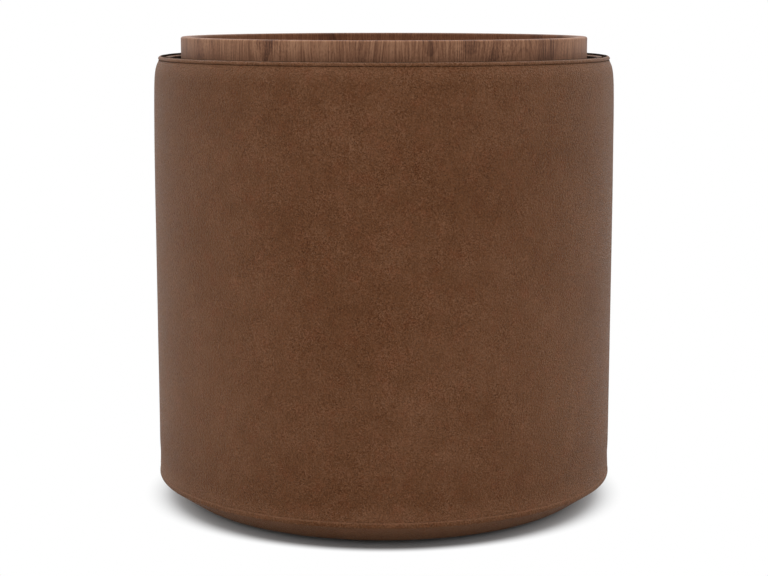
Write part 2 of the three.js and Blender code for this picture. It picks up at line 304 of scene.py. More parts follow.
def finished_mesh(name, points, faces, corners=None, sharp=38):
    """A smooth-shaded mesh that keeps its hard corners."""
    mesh = bpy.data.meshes.new(name)
    mesh.from_pydata(points, [], faces)
    if corners:
        layer = mesh.uv_layers.new(name="Arc")
        layer.data.foreach_set("uv", [c for corner in corners for c in corner])
    mesh.shade_smooth()
    mesh.set_sharp_from_angle(angle=math.radians(sharp))
    if mesh.validate():
        raise RuntimeError(f"{name}: the mesh had faults")
    return mesh


def piece(mesh, body, material, node):
    """Adds a finished mesh as a piece that rides on a body and stands for a CAD node."""
    made = bpy.data.objects.new(mesh.name, mesh)
    bpy.context.scene.collection.objects.link(made)
    mesh.materials.append(kept(material))
    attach(made, body)
    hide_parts(node)
    return made


def line_with_tape(mesh, is_lining):
    """Gives the black tape's cloth to the faces whose middles a test picks."""
    mesh.materials.append(kept("edge_tape_cloth"))
    for face in mesh.polygons:
        if is_lining(face.center):
            face.material_index = 1


def shift_by(x, y, turn=0.0):
    return Matrix.Translation((x, y, 0)) @ Matrix.Rotation(turn, 4, "Z")


def wave(angle, radius, height, size, seed):
    """Soft noise from -1 to 1 over a round wall, with waves of about a size."""
    place = Vector((radius * math.cos(angle), radius * math.sin(angle), height))
    return noise.noise(place / size + Vector((seed, 1.7 * seed, 0.3 * seed)))


def bell(distance, reach):
    return math.exp(-(distance / reach) ** 2)


def step_at(distance, width):
    """A soft step from 0 to 1 where a distance passes zero."""
    return 0.5 + 0.5 * math.tanh(distance / width)


def calm_at_ends(height, low, high):
    """A share from 0 at either end of a stretch of height to 1 well inside it."""
    return 1 - math.exp(-min(height - low, high - height) / (14 * MM))


def from_seam(angle):
    """Arc angle from the seam at the back, from -pi to pi."""
    return (angle - BACK + math.pi) % (2 * math.pi) - math.pi


# Materials

def shaded(colour, share):
    return [c * share for c in colour]


class Recipe:
    """A material's node tree, written one node at a time."""

    def __init__(self, name, tree=None):
        if tree is None:
            self.material = bpy.data.materials.new(name)
            self.material.use_nodes = True
            tree = self.material.node_tree
        else:
            tree.nodes.clear()
        self.nodes, self.links = tree.nodes, tree.links
        self.shader = self.nodes.get("Principled BSDF")
        coordinates = self.add("ShaderNodeTexCoord").outputs
        self.place, self.map, self.outward = (coordinates[n] for n in ("Object", "UV", "Generated"))

    def add(self, kind, **values):
        """A node with its settings and with what goes into its sockets."""
        made = self.nodes.new(kind)
        for key, value in values.items():
            socket = made.inputs.get(key.replace("_", " "))
            if socket is None:
                setattr(made, key, value)
            else:
                self.feed(socket, value)
        return made

    def feed(self, socket, value):
        if isinstance(value, bpy.types.NodeSocket):
            self.links.new(value, socket)
        elif hasattr(value, "__len__") and socket.type == "RGBA" and len(value) == 3:
            socket.default_value = (*value, 1.0)
        else:
            socket.default_value = value

    def filled(self, kind, values, **settings):
        """A node whose first sockets take the values in turn."""
        made = self.nodes.new(kind)
        for key, value in settings.items():
            setattr(made, key, value)
        for socket, value in zip(made.inputs, values):
            self.feed(socket, value)
        return made.outputs

    def work(self, operation, *values, clamp=False):
        return self.filled("ShaderNodeMath", values, operation=operation, use_clamp=clamp)[0]

    def plus(self, first, *others):
        for other in others:
            first = self.work("ADD", first, other)
        return first

    def minus(self, first, second):
        return self.work("SUBTRACT", first, second)

    def times(self, first, *others):
        for other in others:
            first = self.work("MULTIPLY", first, other)
        return first

    def over(self, first, second):
        return self.work("DIVIDE", first, second)

    def reach(self, across, along):
        """How far a flat place lies from its middle."""
        return self.work("SQRT", self.plus(self.times(across, across), self.times(along, along)))

    def span(self, value, low, high, to_low=0.0, to_high=1.0):
        return self.filled("ShaderNodeMapRange", (value, low, high, to_low, to_high), clamp=True)[0]

    def mixed(self, share, first, second):
        """One shader, with a share of another over it."""
        return self.filled("ShaderNodeMixShader", (share, first, second))[0]

    def noise(self, vector, size, detail=2.0, roughness=0.5, distortion=0.0):
        """Noise whose waves are about a size long, from 0 to 1."""
        return self.add("ShaderNodeTexNoise", Vector=vector, Scale=1 / size, Detail=detail,
                        Roughness=roughness, Distortion=distortion).outputs["Fac"]

    def cells(self, size):
        """Distance from the middle of the nearest of many cells of about a size."""
        return self.add("ShaderNodeTexVoronoi", feature="F1", Vector=self.place, Scale=1 / size,
                        Randomness=1.0).outputs["Distance"]

    def chance(self, number):
        return self.add("ShaderNodeTexWhiteNoise", noise_dimensions="1D", W=number).outputs[0]

    def waves(self, along, pitch):
        return self.work("SINE", self.times(along, 2 * math.pi / pitch))

    def ramp(self, value, *stops):
        """A colour or a grey for each of several values."""
        made = self.nodes.new("ShaderNodeValToRGB")
        self.links.new(value, made.inputs[0])
        points = made.color_ramp.elements
        while len(points) < len(stops):
            points.new(0.5)
        for point, (position, colour) in zip(points, stops):
            point.position = position
            point.color = (*colour, 1.0) if hasattr(colour, "__len__") else (colour,) * 3 + (1.0,)
        return made.outputs[0]

    def blend(self, share, first, second, kind="MIX"):
        made = self.nodes.new("ShaderNodeMix")
        made.data_type, made.blend_type = "RGBA", kind
        self.feed(made.inputs["Factor"], share)
        self.feed(made.inputs[6], first)
        self.feed(made.inputs[7], second)
        return made.outputs[2]

    def stretched(self, scale):
        return self.add("ShaderNodeMapping", Vector=self.place, Scale=scale).outputs[0]

    def joined(self, x, y, z=0.0):
        return self.add("ShaderNodeCombineXYZ", X=x, Y=y, Z=z).outputs[0]

    def parted(self, vector):
        return self.add("ShaderNodeSeparateXYZ", Vector=vector).outputs[:3]

    def bump(self, height, distance, below=None):
        made = self.add("ShaderNodeBump", Height=height, Distance=distance, Strength=1.0)
        if below is not None:
            self.links.new(below, made.inputs["Normal"])
        return made.outputs[0]

    def finish(self, colour, roughness, normal, **sockets):
        wanted = {"Base_Color": colour, "Roughness": roughness, "Normal": normal, **sockets}
        for key, value in wanted.items():
            self.feed(self.shader.inputs[key.replace("_", " ")], value)
        return self.material


def leather_material(r, settings):
    """Pull-up leather: pebbled grain with fine creases, soft clouding and a waxy bloom at
    glancing angles."""
    _, _, up = r.parted(r.place)
    clouds = r.noise(r.place, 95 * MM, 3.0, 0.55)
    patches = r.noise(r.place, 17 * MM, 3.0, 0.6)
    calm = r.span(r.noise(r.place, 26 * MM, 2.0, 0.5), 0.35, 0.65, 0.55, 1.05)
    creases = r.noise(r.place, 1.5 * settings.grain, 1.0, 0.5, 0.6)
    creases = r.span(r.work("ABSOLUTE", r.minus(creases, 0.5)), 0.0, 0.09)
    specks = r.noise(r.place, 0.75 * settings.grain, 1.0, 0.5)
    pebbles = r.cells(settings.grain)
    fine = r.plus(r.span(specks, 0.2, 0.8, -0.44, 0.62), r.span(pebbles, 0.1, 0.8, 0.13, -0.13),
                  r.span(creases, 0.0, 1.0, -0.10, 0.04))
    # Painted light: a painted highlight along the base's edge, painted shade just above and below it, a
    # paler lower side that offsets its shade, and a painted highlight from under the piping up
    _, _, seam, crest = extents_of("side_cover")
    wear_and_painted_light = r.ramp(r.span(up, seam - 12 * MM, seam + 88 * MM),
                  (0.0, 0.5), (0.05, 0.43), (0.088, 0.435), (0.105, 0.51), (0.112, 1.0),
                  (0.121, 1.0), (0.127, 0.56), (0.17, 0.595), (0.22, 0.50), (0.30, 0.39),
                  (0.44, 0.42), (0.9, 0.5))
    tone = r.plus(r.span(clouds, 0.3, 0.7, 0.41, 0.59), r.span(patches, 0.25, 0.75, -0.13, 0.13),
                  r.times(fine, calm), r.minus(wear_and_painted_light, 0.5),
                  # Painted light: paler low on the side to offset its shade, and a painted highlight from
                  # just under the piping up
                  r.span(up, seam + 60 * MM, seam + 300 * MM, 0.10, 0.0),
                  r.span(up, crest - 16 * MM, crest - 3 * MM, 0.0, 0.20))
    colour = r.ramp(tone, (0.0, settings.deep), (0.5, settings.colour), (1.0, settings.pale))
    red = r.span(r.noise(r.place, 14 * MM, 3.0, 0.6), 0.5, 0.75, 0.0, 0.3)
    colour = r.blend(red, colour, settings.red_tint, "SOFT_LIGHT")
    gloss = r.plus(r.span(patches, 0.3, 0.7, 0.47, 0.55), r.span(specks, 0.3, 0.7, -0.04, 0.04))
    height = r.plus(r.span(pebbles, 0.0, 0.9, 1.0, 0.0), r.span(specks, 0.2, 0.8, 0.0, 0.7),
                    r.times(creases, 0.5))
    normal = r.bump(patches, 0.25 * MM, below=r.bump(height, 1.0 * MM))
    return r.finish(colour, gloss, normal, Specular_IOR_Level=0.22, Specular_Tint=(1.0, 0.76, 0.50),
                    Sheen_Weight=0.064, Sheen_Roughness=0.35, Sheen_Tint=(1.0, 0.68, 0.30))


def walnut_material(r, settings):
    """Sliced walnut in leaves whose rings run straight along the grain or close to a point."""
    upright = r.material.name == "walnut_upright"
    x, y, up = r.parted(r.place)
    across, along = r.parted(r.map)[:2] if upright else (r.plus(y, 1.0), x)
    leaf = r.work("FLOOR", r.over(across, settings.leaf_width))
    chance, chance_too = r.chance(leaf), r.chance(r.plus(leaf, 31.7))
    inside = r.minus(across, r.times(r.plus(leaf, 0.5), settings.leaf_width))
    warp = r.noise(r.joined(r.times(across, 30.0), r.times(along, 12.0), leaf), 1.0)
    off = r.plus(inside, r.span(warp, 0.2, 0.8, -4 * MM, 4 * MM),
                 r.span(chance_too, 0.0, 1.0, -30 * MM, 30 * MM))
    slope = r.span(chance, 0.0, 1.0, -0.3, 0.3)
    deep = r.plus(r.span(chance_too, 0.0, 1.0, 2 * MM, 12 * MM), r.times(along, slope))
    rings = r.plus(r.over(r.reach(off, deep), settings.ring_width), r.span(warp, 0, 1, 0, 1.4))
    late = r.ramp(r.work("FRACT", rings), (0.0, 0.25), (0.5, 0.08), (0.84, 1.0), (1.0, 0.25))
    band = r.noise(r.joined(r.times(rings, 0.31), leaf), 1.0)

    def threads(width, length, detail, roughness=0.5):
        """Fine streaks along the grain."""
        place = r.joined(r.over(off, width), r.over(along, length), leaf)
        return r.noise(place, 1.0, detail, roughness)

    fibre = threads(1.3 * MM, 34 * MM, 3.0, 0.6)
    pores = r.span(threads(0.55 * MM, 5 * MM, 1.0), 0.58, 0.70, 0.0, 1.0)
    fleck = threads(1.1 * MM, 2.6 * MM, 1.0)
    flecked = r.span(r.noise(r.place, 30 * MM, 1.0), 0.4, 0.6, 0.35, 1.0)
    tone = r.plus(r.times(late, 0.24), r.span(band, 0.3, 0.7, 0.02, 0.38),
                  r.span(fibre, 0.25, 0.75, -0.55, 0.55), r.span(chance, 0.0, 1.0, 0.0, 0.1),
                  r.times(flecked, r.span(fleck, 0.25, 0.75, -0.24, 0.24)))
    if upright:
        tone = r.plus(tone, *rim_markings(r, settings, across, along, up, warp))
    colour = r.ramp(tone, (0.0, settings.walnut_pale), (0.42, settings.walnut),
                    (0.95, settings.walnut_dark))
    colour = r.blend(r.times(pores, 0.45), colour, settings.walnut_dark)
    if upright:
        # Painted shade on the rim's inner face, inside the given radius
        turn = settings.inner_face_shade_radius
        inner = r.span(r.reach(x, y), turn, turn + 1 * MM, 0.75, 0.0)
        colour = r.blend(inner, colour, settings.inner_face_shade, "MULTIPLY")
    height = r.minus(r.span(fibre, 0.2, 0.8, 0.0, 0.4), r.times(pores, 0.6))
    return r.finish(colour, r.span(tone, 0.0, 1.0, 0.54, 0.48), r.bump(height, 0.06 * MM),
                    Specular_IOR_Level=0.13)


def rim_markings(r, settings, across, along, up, warp):
    """What darkens the upright rim: a wedge of figure, painted shade low down where the gap shades it, and
    a few flames.
    """
    _, outer, _, high = extents_of("tray_rim")
    half = r.span(up, high - 19 * MM, high - 1 * MM, 3.3 * MM, 11.7 * MM)
    aside = r.plus(r.minus(across, math.pi * outer - settings.figure_at),
                   r.span(warp, 0.2, 0.8, -1 * MM, 1 * MM))
    wedge = r.ramp(r.span(r.over(aside, half), -1.0, 1.0),
                   (0.0, 0.0), (0.15, 0.24), (0.9, 0.46), (1.0, 0.0))
    # Painted shade: darker towards the rim's lower edge, down in the gap
    low_painted_shade = r.span(up, high - 18 * MM, high - 7 * MM, 0.14, 0.0)
    flame = r.noise(r.joined(r.times(across, 42.0), r.times(along, 15.0), 6.3), 1.0, 0.0)
    return wedge, low_painted_shade, r.span(flame, 0.64, 0.67, 0.0, 0.28)


def cloth_material(r, settings):
    """Plain-woven black lining cloth."""
    axes = r.parted(r.map if r.material.name == "lining_cloth" else r.place)
    warp, weft = (r.waves(axis, settings.thread_pitch) for axis in axes[:2])
    weave = r.span(r.times(warp, weft), -1.0, 1.0)
    fluff = r.noise(r.place, 2.5 * MM, 4.0, 0.7)
    dust = r.noise(r.place, 35 * MM, 3.0, 0.6)
    lit = [c * 2.4 + 0.004 for c in settings.cloth]
    shade = r.plus(r.times(weave, 0.45), r.span(fluff, 0.3, 0.7, 0.0, 0.4),
                   r.span(dust, 0.4, 0.7, 0.0, 0.15))
    colour = r.ramp(shade, (0.0, shaded(settings.cloth, 0.5)), (0.5, settings.cloth), (1.0, lit))
    height = r.plus(weave, r.times(fluff, 0.6))
    return r.finish(colour, r.span(fluff, 0.2, 0.8, 0.85, 0.97), r.bump(height, 0.1 * MM),
                    Specular_IOR_Level=0.02, Sheen_Weight=0.02, Sheen_Roughness=0.5)


def tape_material(r, settings):
    """The stiff black tape behind the piping, ribbed along its length."""
    ribs = r.waves(r.parted(r.map)[0], 0.7 * MM)
    fluff = r.noise(r.place, 1.8 * MM, 3.0, 0.7)
    colour = r.ramp(fluff, (0.3, settings.cloth), (0.75, (0.050, 0.0290, 0.0180)))
    height = r.plus(r.span(ribs, -1.0, 1.0, 0.0, 0.5), fluff)
    return r.finish(colour, r.span(fluff, 0.2, 0.8, 0.8, 0.95), r.bump(height, 0.08 * MM),
                    Specular_IOR_Level=0.02)


def dust_cloth_material(r, settings):
    """Bonded black cloth with a fine stamped dot pattern."""
    x, y, _ = r.parted(r.place)
    dots = r.times(r.waves(r.plus(x, y), 1.6 * MM), r.waves(r.minus(x, y), 1.6 * MM))
    dots = r.span(dots, 0.2, 0.8)
    fibres = r.noise(r.place, 1.4 * MM, 4.0, 0.75, 1.5)
    wear_and_painted_light = r.noise(r.place, 45 * MM, 3.0)
    shade = r.plus(r.span(fibres, 0.3, 0.7, 0.0, 0.6), r.span(wear_and_painted_light, 0.4, 0.7, 0.0, 0.3))
    colour = r.ramp(shade, (0.0, shaded(settings.cloth, 0.6)), (1.0, (0.026, 0.025, 0.026)))
    height = r.minus(fibres, r.times(dots, 0.8))
    return r.finish(colour, r.span(dots, 0.0, 1.0, 0.9, 0.7), r.bump(height, 0.12 * MM),
                    Specular_IOR_Level=0.2)


def plywood_material(r, settings):
    """Birch plywood: long grain on its faces and thin plies in its edges."""
    _, _, facing = r.parted(r.add("ShaderNodeNewGeometry").outputs["Normal"])
    on_face = r.span(r.work("ABSOLUTE", facing), 0.6, 0.8)
    grain = r.noise(r.stretched((0.12, 1.6, 1.0)), 6 * MM, 4.0, 0.6, 0.4)
    plies = r.work("FRACT", r.over(r.plus(r.parted(r.place)[2], 1.0), 2.6 * MM))
    plies = r.plus(r.span(plies, 0.46, 0.54),
                   r.span(r.noise(r.place, 1.2 * MM, 3.0), 0.3, 0.7, -0.2, 0.2))
    face = r.ramp(grain, (0.25, shaded(settings.birch, 1.12)), (0.55, settings.birch),
                  (0.8, shaded(settings.birch, 0.74)))
    edge = r.ramp(plies, (0.0, settings.birch), (1.0, settings.birch_edge))
    return r.finish(r.blend(on_face, edge, face), r.span(grain, 0.2, 0.8, 0.62, 0.78),
                    r.bump(grain, 0.08 * MM), Specular_IOR_Level=0.3)


def batten_material(r, settings):
    """Sawn birch battens with upright grain."""
    grain = r.noise(r.stretched((1.0, 1.0, 0.06)), 3.2 * MM, 4.0, 0.6, 0.3)
    saw = r.noise(r.stretched((0.05, 0.05, 1.0)), 2.0 * MM, 1.0)
    colour = r.ramp(grain, (0.25, shaded(settings.birch, 1.08)), (0.6, settings.birch),
                    (0.85, shaded(settings.birch, 0.7)))
    return r.finish(colour, r.span(saw, 0.3, 0.7, 0.7, 0.82), r.bump(saw, 0.15 * MM),
                    Specular_IOR_Level=0.25)


def fibreboard_material(r, settings):
    """Brown fibreboard with pale and dark fibres."""
    fibres = r.noise(r.place, 0.9 * MM, 4.0, 0.75, 2.0)
    tone = r.plus(r.times(fibres, 0.8), r.times(r.noise(r.place, 30 * MM, 3.0), 0.2))
    colour = r.ramp(tone, (0.3, shaded(settings.board, 0.7)), (0.5, settings.board),
                    (0.7, shaded(settings.board, 1.3)))
    return r.finish(colour, r.span(fibres, 0.2, 0.8, 0.75, 0.9), r.bump(fibres, 0.06 * MM),
                    Specular_IOR_Level=0.25)


def foam_material(r, settings):
    """Cream foam with open pores."""
    pores = r.cells(0.9 * MM)
    tint = r.noise(r.place, 25 * MM, 3.0)
    colour = r.ramp(r.plus(r.times(pores, 0.7), r.times(tint, 0.3)),
                    (0.1, shaded(settings.foam, 0.72)), (0.7, settings.foam))
    return r.finish(colour, r.span(tint, 0.2, 0.8, 0.9, 1.0), r.bump(pores, 0.3 * MM),
                    Specular_IOR_Level=0.1)


def felt_material(r, settings):
    """Pressed felt with loose fibres."""
    fibres = r.noise(r.place, 0.7 * MM, 5.0, 0.8, 2.5)
    tufts = r.noise(r.place, 2.2 * MM, 2.0)
    colour = r.ramp(fibres, (0.3, shaded(settings.felt, 0.6)), (0.55, settings.felt),
                    (0.75, shaded(settings.felt, 1.9)))
    return r.finish(colour, r.span(tufts, 0.2, 0.8, 0.9, 1.0),
                    r.bump(r.plus(fibres, tufts), 0.15 * MM),
                    Specular_IOR_Level=0.1, Sheen_Weight=0.3, Sheen_Roughness=0.6)


def nylon_material(r, settings):
    """Black moulded nylon, finely spark-textured and scuffed below."""
    spark = r.noise(r.place, 0.35 * MM, 2.0, 0.6)
    scuff = r.noise(r.stretched((1.0, 0.12, 1.0)), 1.6 * MM, 3.0, 0.7)
    colour = r.ramp(scuff, (0.35, settings.nylon), (0.8, shaded(settings.nylon, 3.2)))
    return r.finish(colour, r.span(scuff, 0.3, 0.7, 0.38, 0.55), r.bump(spark, 0.03 * MM),
                    Specular_IOR_Level=0.45)


def steel_material(r, settings):
    """Zinc-plated steel with faint turning marks and a dull bloom."""
    bloom = r.noise(r.place, 1.5 * MM, 3.0, 0.6)
    lines = r.noise(r.stretched((1.0, 1.0, 9.0)), 0.6 * MM, 2.0)
    colour = r.ramp(bloom, (0.3, shaded(settings.steel, 0.78)), (0.7, settings.steel))
    return r.finish(colour, r.span(bloom, 0.3, 0.7, 0.28, 0.42), r.bump(lines, 0.02 * MM),
                    Metallic=1.0)


# Each material's maker and the settings it reads. The frame brings plain materials of its own
# called fibreboard, glide_nylon and screw_steel. Those are used, and these three aren't made.
MATERIALS = {
    "brown_leather": (leather_material, "drum_leather"),
    "walnut_upright": (walnut_material, "drum_wood"),
    "walnut_flat": (walnut_material, "drum_wood"),
    "birch_plywood": (plywood_material, "drum_wood"),
    "batten_wood": (batten_material, "drum_wood"),
    "fibreboard": (fibreboard_material, "drum_wood"),
    "lining_cloth": (cloth_material, "drum_trim"),
    "floor_cloth": (cloth_material, "drum_trim"),
    "edge_tape_cloth": (tape_material, "drum_trim"),
    "dust_cloth": (dust_cloth_material, "drum_trim"),
    "upholstery_foam": (foam_material, "drum_trim"),
    "pad_felt": (felt_material, "drum_trim"),
    "glide_nylon": (nylon_material, "drum_trim"),
    "screw_steel": (steel_material, "drum_trim"),
}


def kept(name):
    """The named material: the frame's own if it has one, or else made on first use."""
    made = bpy.data.materials.get(name)
    if made is None:
        maker, settings = MATERIALS[name]
        made = maker(Recipe(name), getattr(bpy.context.scene, settings))
    return made


# Pieces

class DRUMTABLE_OT_stage(bpy.types.Operator):
    """Adds the floor, the soft light and the camera"""

    bl_idname = "drum_table.stage"
    bl_label = "Stage"

    def execute(self, context):
        settings = context.scene.drum_stage
        self.add_floor(settings)
        self.light(context.scene, settings)
        lens = bpy.data.cameras.new("camera")
        lens.sensor_width, lens.lens = 36.0, settings.lens
        camera = bpy.data.objects.new("camera", lens)
        camera.location = (0.0, -settings.distance, settings.height)
        camera.rotation_euler = (math.pi / 2 - settings.pitch, 0.0, 0.0)
        context.scene.collection.objects.link(camera)
        bpy.context.scene.camera = camera
        context.scene.view_settings.view_transform = "Standard"
        return {"FINISHED"}

    def add_floor(self, settings):
        """Lays a pale floor that shows plain white to the camera outside a painted shadow edge round the
        table, and nothing to a camera below it. Inside that edge the floor keeps the table's real shade."""
        half = 12.0
        floor = bpy.data.objects.new("floor", finished_mesh(
            "floor", [(-half, -half, 0), (half, -half, 0), (half, half, 0), (-half, half, 0)],
            [(0, 1, 2, 3)]))
        bpy.context.scene.collection.objects.link(floor)
        r = Recipe("studio_floor")
        plain, shadow = (r.add("ShaderNodeBsdfDiffuse", Color=colour).outputs[0]
                         for colour in (settings.floor, settings.shadow))
        white = r.add("ShaderNodeEmission", Color=WHITE, Strength=1.0).outputs[0]
        # Painted shadow edge: a mask round the table, shifted back and wider and softer at the sides,
        # turns the shaded floor to plain glowing white and so sets how far the shade reaches
        away = r.filled("ShaderNodeVectorMath", (r.place, (0.0, settings.shadow_shift, 0.0)),
                        operation="DISTANCE")["Value"]
        aside = r.over(r.parted(r.place)[0], settings.shadow_edge)
        aside = r.work("MINIMUM", r.times(aside, aside), 1.0)
        soft = r.times(settings.shadow_softness, r.plus(1.0, aside))
        edge = r.plus(settings.shadow_edge, r.times(settings.shadow_spread, aside))
        clear = r.span(away, r.minus(edge, soft), r.plus(edge, soft))
        clear = r.times(r.times(clear, clear), r.minus(3.0, r.times(clear, 2.0)))
        # Painted light: the shade is made paler near its edge at the sides
        near = r.span(away, r.minus(edge, 30 * MM), r.minus(edge, 5 * MM))
        lift = r.times(settings.shadow_lift, r.times(aside, near))
        clear = r.plus(clear, r.times(lift, r.minus(1.0, clear)))
        seen = r.add("ShaderNodeLightPath").outputs["Is Camera Ray"]
        top = r.mixed(seen, plain, r.mixed(clear, shadow, white))
        below = r.add("ShaderNodeNewGeometry").outputs["Backfacing"]
        surface = r.mixed(below, top, r.add("ShaderNodeBsdfTransparent").outputs[0])
        r.links.new(surface, r.nodes["Material Output"].inputs["Surface"])
        floor.data.materials.append(r.material)

    def light(self, scene, settings):
        """Soft light, stronger from above and weaker from the viewer's side, that shows white."""
        world = bpy.data.worlds.new("studio")
        world.use_nodes = True
        scene.world = world
        r = Recipe("studio", world.node_tree)
        _, ahead, up = r.parted(r.outward)
        strength = r.span(up, 0.0, 0.85, settings.sky_low, settings.sky_high)
        front = r.span(ahead, -0.95, -0.1, 1.0 - settings.sky_front, 1.0)
        wall = r.times(r.span(ahead, 0.0, 0.5, 0.0, settings.sky_back), r.span(up, -0.05, 0.1))
        strength = r.times(strength, r.plus(front, wall))
        soft, white = (r.add("ShaderNodeBackground", Color=WHITE, Strength=s).outputs[0]
                       for s in (strength, 1.0))
        seen = r.add("ShaderNodeLightPath").outputs
        shown = r.work("ADD", seen["Is Camera Ray"], seen["Is Transmission Ray"], clamp=True)
        r.links.new(r.mixed(shown, soft, white), r.add("ShaderNodeOutputWorld").inputs["Surface"])


def side_radius(height, settings):
    """The leather side's outer radius at a height."""
    depth = top_of("side_cover") - height
    widest = widest_radius() - settings.crown_edge * math.exp(-depth / settings.crown_edge_reach) \
        - settings.crown_wide * math.exp(-depth / settings.crown_wide_reach)
    drawn_at, drawn_reach = bottom_of("side_cover") + 15.5 * MM, 8.5 * MM
    return widest - settings.seam_draw * bell(height - drawn_at, drawn_reach)


def widest_radius():
    return box_of("side_cover")[1].x


def broad_ripple(angle, radius, height):
    """The broad waves that the leather side shares with the foam under it."""
    return wave(angle, radius, height, 95 * MM, 3.1)


def closing_seam(arc, ridge, groove, beside, reach):
    """How far leather stands out by its closing seam: a ridge to either side of a groove."""
    return ridge * bell(abs(arc) - beside, reach) - groove * bell(arc, 0.6 * MM)


class DRUMTABLE_OT_side(bpy.types.Operator):
    """Adds the stretched leather side with its closing seam at the back"""

    bl_idname = "drum_table.side"
    bl_label = "Leather side"

    def execute(self, context):
        settings = context.scene.drum_leather
        _, _, low, high = extents_of("side_cover")
        low = low - SIDE_OVERLAP + settings.seam_rise
        thickness = settings.thickness
        outline = self.outline(low, high, thickness, settings)

        def move(radius, height, angle):
            if radius <= side_radius(height, settings) - 0.8 * thickness:
                return radius, height
            out = settings.ripple * calm_at_ends(height, low, high) * (
                broad_ripple(angle, radius, height)
                + 0.4 * wave(angle, radius, height, 38 * MM, 7.7))
            out += settings.pucker * math.exp(-(height - low) / (7 * MM)) \
                * wave(angle, radius, 0.25 * height, 9 * MM, 11.3)
            out += 0.6 * settings.pucker * math.exp(-(high - height) / (6 * MM)) \
                * wave(angle, radius, 0.25 * height, 12 * MM, 17.9)
            wander = 0.25 * MM * noise.noise(Vector((height / (60 * MM), 5.0, 0.0)))
            arc = from_seam(angle) * radius - wander
            out += closing_seam(arc, ridge=0.22 * MM, groove=0.95 * MM, beside=2.1 * MM,
                                reach=1.5 * MM)
            return radius + out, height

        angles = angles_round(seam_reach=SEAM_REACH / widest_radius())
        made = piece(turned("leather_side", outline, angles, move), "drum",
                     "brown_leather", "side_cover")
        return {"FINISHED"}

    def outline(self, low, high, thickness, settings):
        """Up the outside from the tucked fold, over the crest and down the inside."""
        rounding = settings.fold_rounding
        heights = [low + rounding]
        while heights[-1] < high - 0.6 * MM:
            near = min(heights[-1] - low, high - heights[-1])
            heights.append(heights[-1] + max(0.7 * MM, min(7 * MM, 0.12 * near)))
        foot, top = side_radius(low + rounding, settings), side_radius(high, settings)
        fold = [(foot - rounding + rounding * math.sin(a), low + rounding - rounding * math.cos(a))
                for a in (k * math.pi / 12 for k in range(6))]
        outer = [(side_radius(h, settings), h) for h in heights if h < high - 0.5 * MM]
        crest = [(top + 0.45 * MM, high + 0.15 * MM), (top + 0.1 * MM, high + 0.4 * MM),
                 (top - thickness, high)]
        inner = [(side_radius(h, settings) - thickness, h)
                 for h in (high - 2 * MM, high - 6 * MM, high - 15 * MM, high - 40 * MM,
                           (high + low) / 2, low + 60 * MM, low + 30 * MM, low + 12 * MM,
                           low + 3 * MM)]
        return [(foot - thickness, low)] + fold + outer + crest + inner


class DRUMTABLE_OT_base(bpy.types.Operator):
    """Adds the leather over the base's shoulder and bevel, turned in underneath"""

    bl_idname = "drum_table.base"
    bl_label = "Leather base"

    def execute(self, context):
        settings = context.scene.drum_leather
        inner, outer, low, high = extents_of("bottom_band")
        high += settings.seam_rise
        outer += settings.base_proud
        thickness, tall, deep = settings.thickness, settings.edge_height, settings.edge_depth
        slope = math.tan(BASE_BEVEL)
        roll = [(outer - deep + deep * math.cos(a), high - tall + tall * math.sin(a))
                for a in (k * math.pi / 16 for k in range(9))]
        foot = outer - (BASE_SHOULDER - low) / slope
        skin = rounded([
            (inner, low, 0), (foot, low, 40 * MM),
            (outer, BASE_SHOULDER, 2.8 * MM), (*roll[0], 0),
        ], steps=9, hold=0) + roll[1:] + [(outer - 2 * thickness, high)]
        rise = thickness / math.cos(BASE_BEVEL)
        back = rounded([
            (outer - 2 * thickness, high - thickness, 0),
            (outer - thickness, high - thickness, 0.2 * MM),
            (outer - thickness, BASE_SHOULDER + rise - thickness * slope, 1.5 * MM),
            (foot - (rise - thickness) / slope, low + thickness, 38 * MM),
            (inner, low + thickness, 0),
        ], steps=9, hold=0)

        def move(radius, height, angle):
            near_floor = max(0.0, 1 - (height - low) / (9 * MM))
            gather = settings.pucker * (0.5 + 1.6 * near_floor) * (outer - radius) / (outer - inner)
            down = gather * wave(angle, 0.08, 0.0, 4.5 * MM, 23.0)
            edge = bell(height - high, 2.5 * MM)
            out = 0.55 * settings.pucker * edge * wave(angle, outer, 0.0, 10 * MM, 29.0)
            out += 0.35 * settings.pucker * (1 - edge) * wave(angle, radius, height, 24 * MM, 31.0)
            arc = from_seam(angle) * radius
            out += closing_seam(arc, ridge=0.2 * MM, groove=0.8 * MM, beside=2.0 * MM,
                                reach=1.4 * MM)
            if height < BASE_SHOULDER:
                return radius + 0.6 * out, height - 0.8 * out * (height > low + 2 * MM) + down
            return radius + out, height

        angles = angles_round(seam_reach=SEAM_REACH / outer)
        mesh = turned("leather_base", divided(skin + back, 2.2 * MM), angles, move)
        made = piece(mesh, "drum", "brown_leather", "bottom_band")
        return {"FINISHED"}


